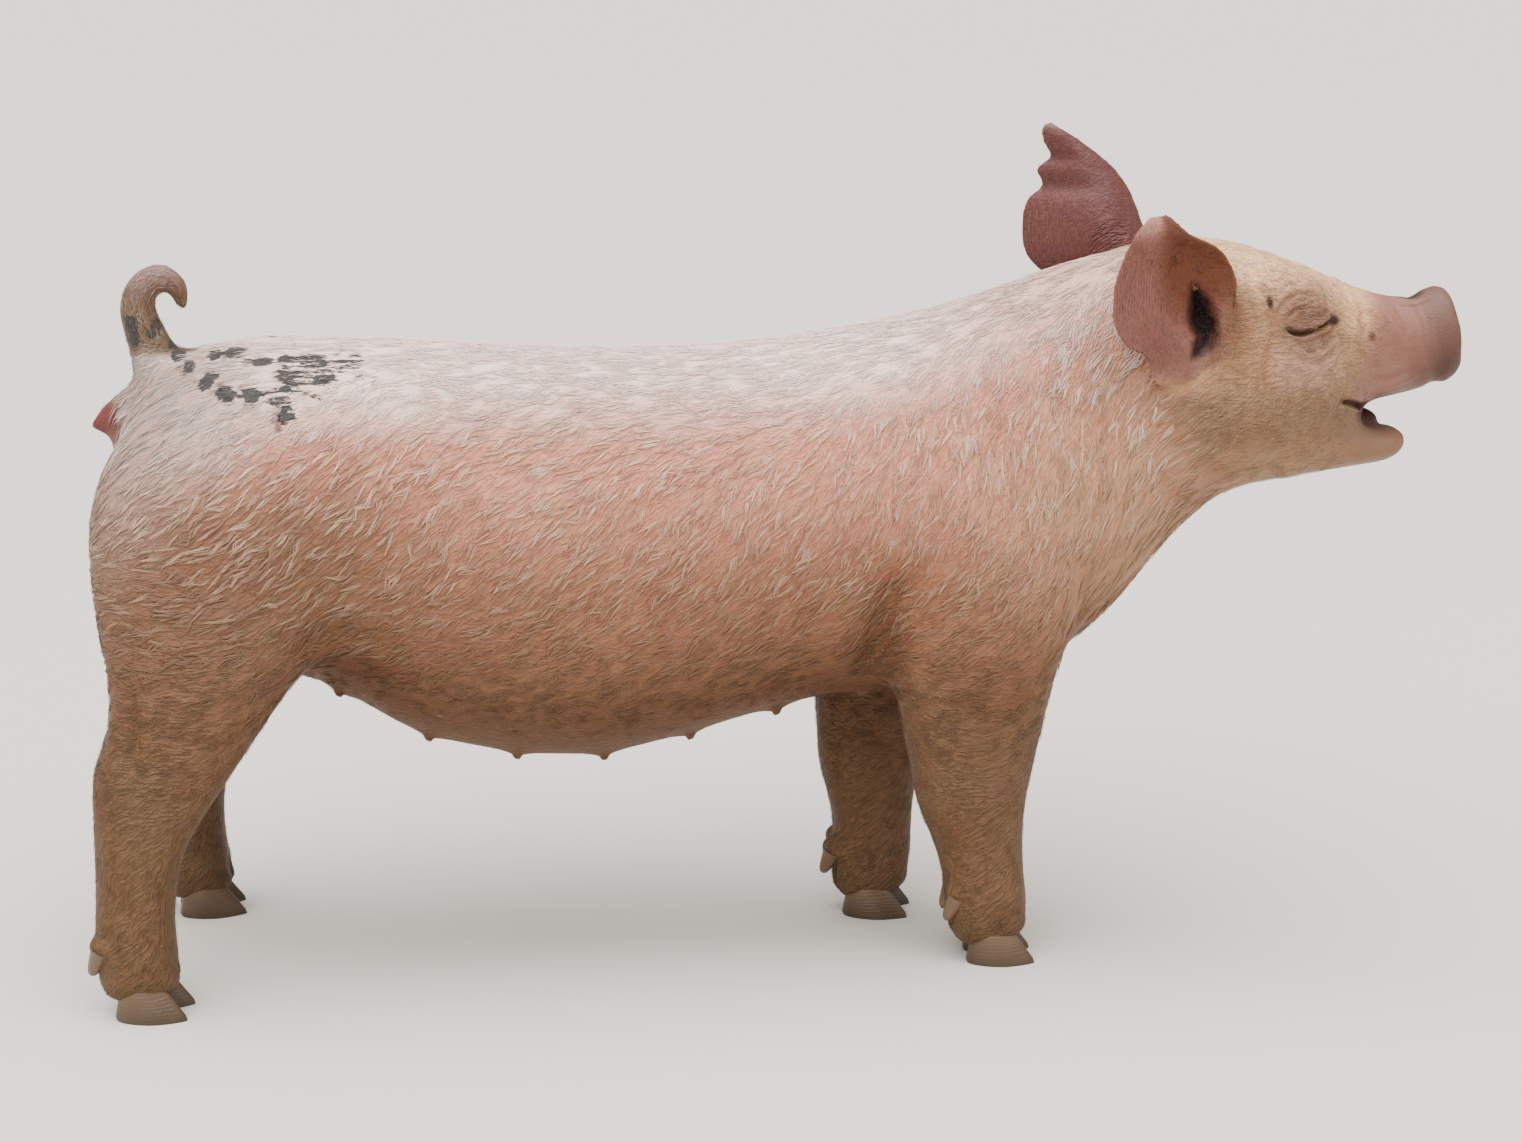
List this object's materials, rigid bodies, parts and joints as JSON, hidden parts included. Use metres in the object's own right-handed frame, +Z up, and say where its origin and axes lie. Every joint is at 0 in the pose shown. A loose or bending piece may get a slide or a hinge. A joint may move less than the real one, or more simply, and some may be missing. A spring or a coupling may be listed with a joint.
{
  "type": "young pig",
  "caption": "Young white gilt with grey-black spots on rump and tail, standing with raised head and slightly open mouth, as a still life-size model.",
  "frame": {"origin": "on the floor, below the middle of the animal's bounding box", "axes": "+X from tail to snout, +Y to the animal's left, +Z up from the soles"},
  "size_m": [0.9472, 0.2608, 0.5723],
  "materials": {
    "skin": "pale pink skin under short whitish hair",
    "snout_skin": "bare mauve-pink skin, slightly moist",
    "ear_skin": "thin dusty-rose skin",
    "horn": "brown claw horn, satin",
    "eye": "wet dark brown"
  },
  "bodies": {
    "root": {"trunk": "skin", "neck": "skin", "head": "skin", "jaw": "skin", "tail": "skin", "leg_fore_right": "skin", "leg_fore_left": "skin", "leg_hind_right": "skin", "leg_hind_left": "skin", "snout": "snout_skin", "ear_right": "ear_skin", "ear_left": "ear_skin", "eye_right": "eye", "eye_left": "eye", "claw_fore_right_outer": "horn", "claw_fore_right_inner": "horn", "dewclaw_fore_right_outer": "horn", "dewclaw_fore_right_inner": "horn", "claw_fore_left_outer": "horn", "claw_fore_left_inner": "horn", "dewclaw_fore_left_outer": "horn", "dewclaw_fore_left_inner": "horn", "claw_hind_right_outer": "horn", "claw_hind_right_inner": "horn", "dewclaw_hind_right_outer": "horn", "dewclaw_hind_right_inner": "horn", "claw_hind_left_outer": "horn", "claw_hind_left_inner": "horn", "dewclaw_hind_left_outer": "horn", "dewclaw_hind_left_inner": "horn"}
  },
  "joints": []
}
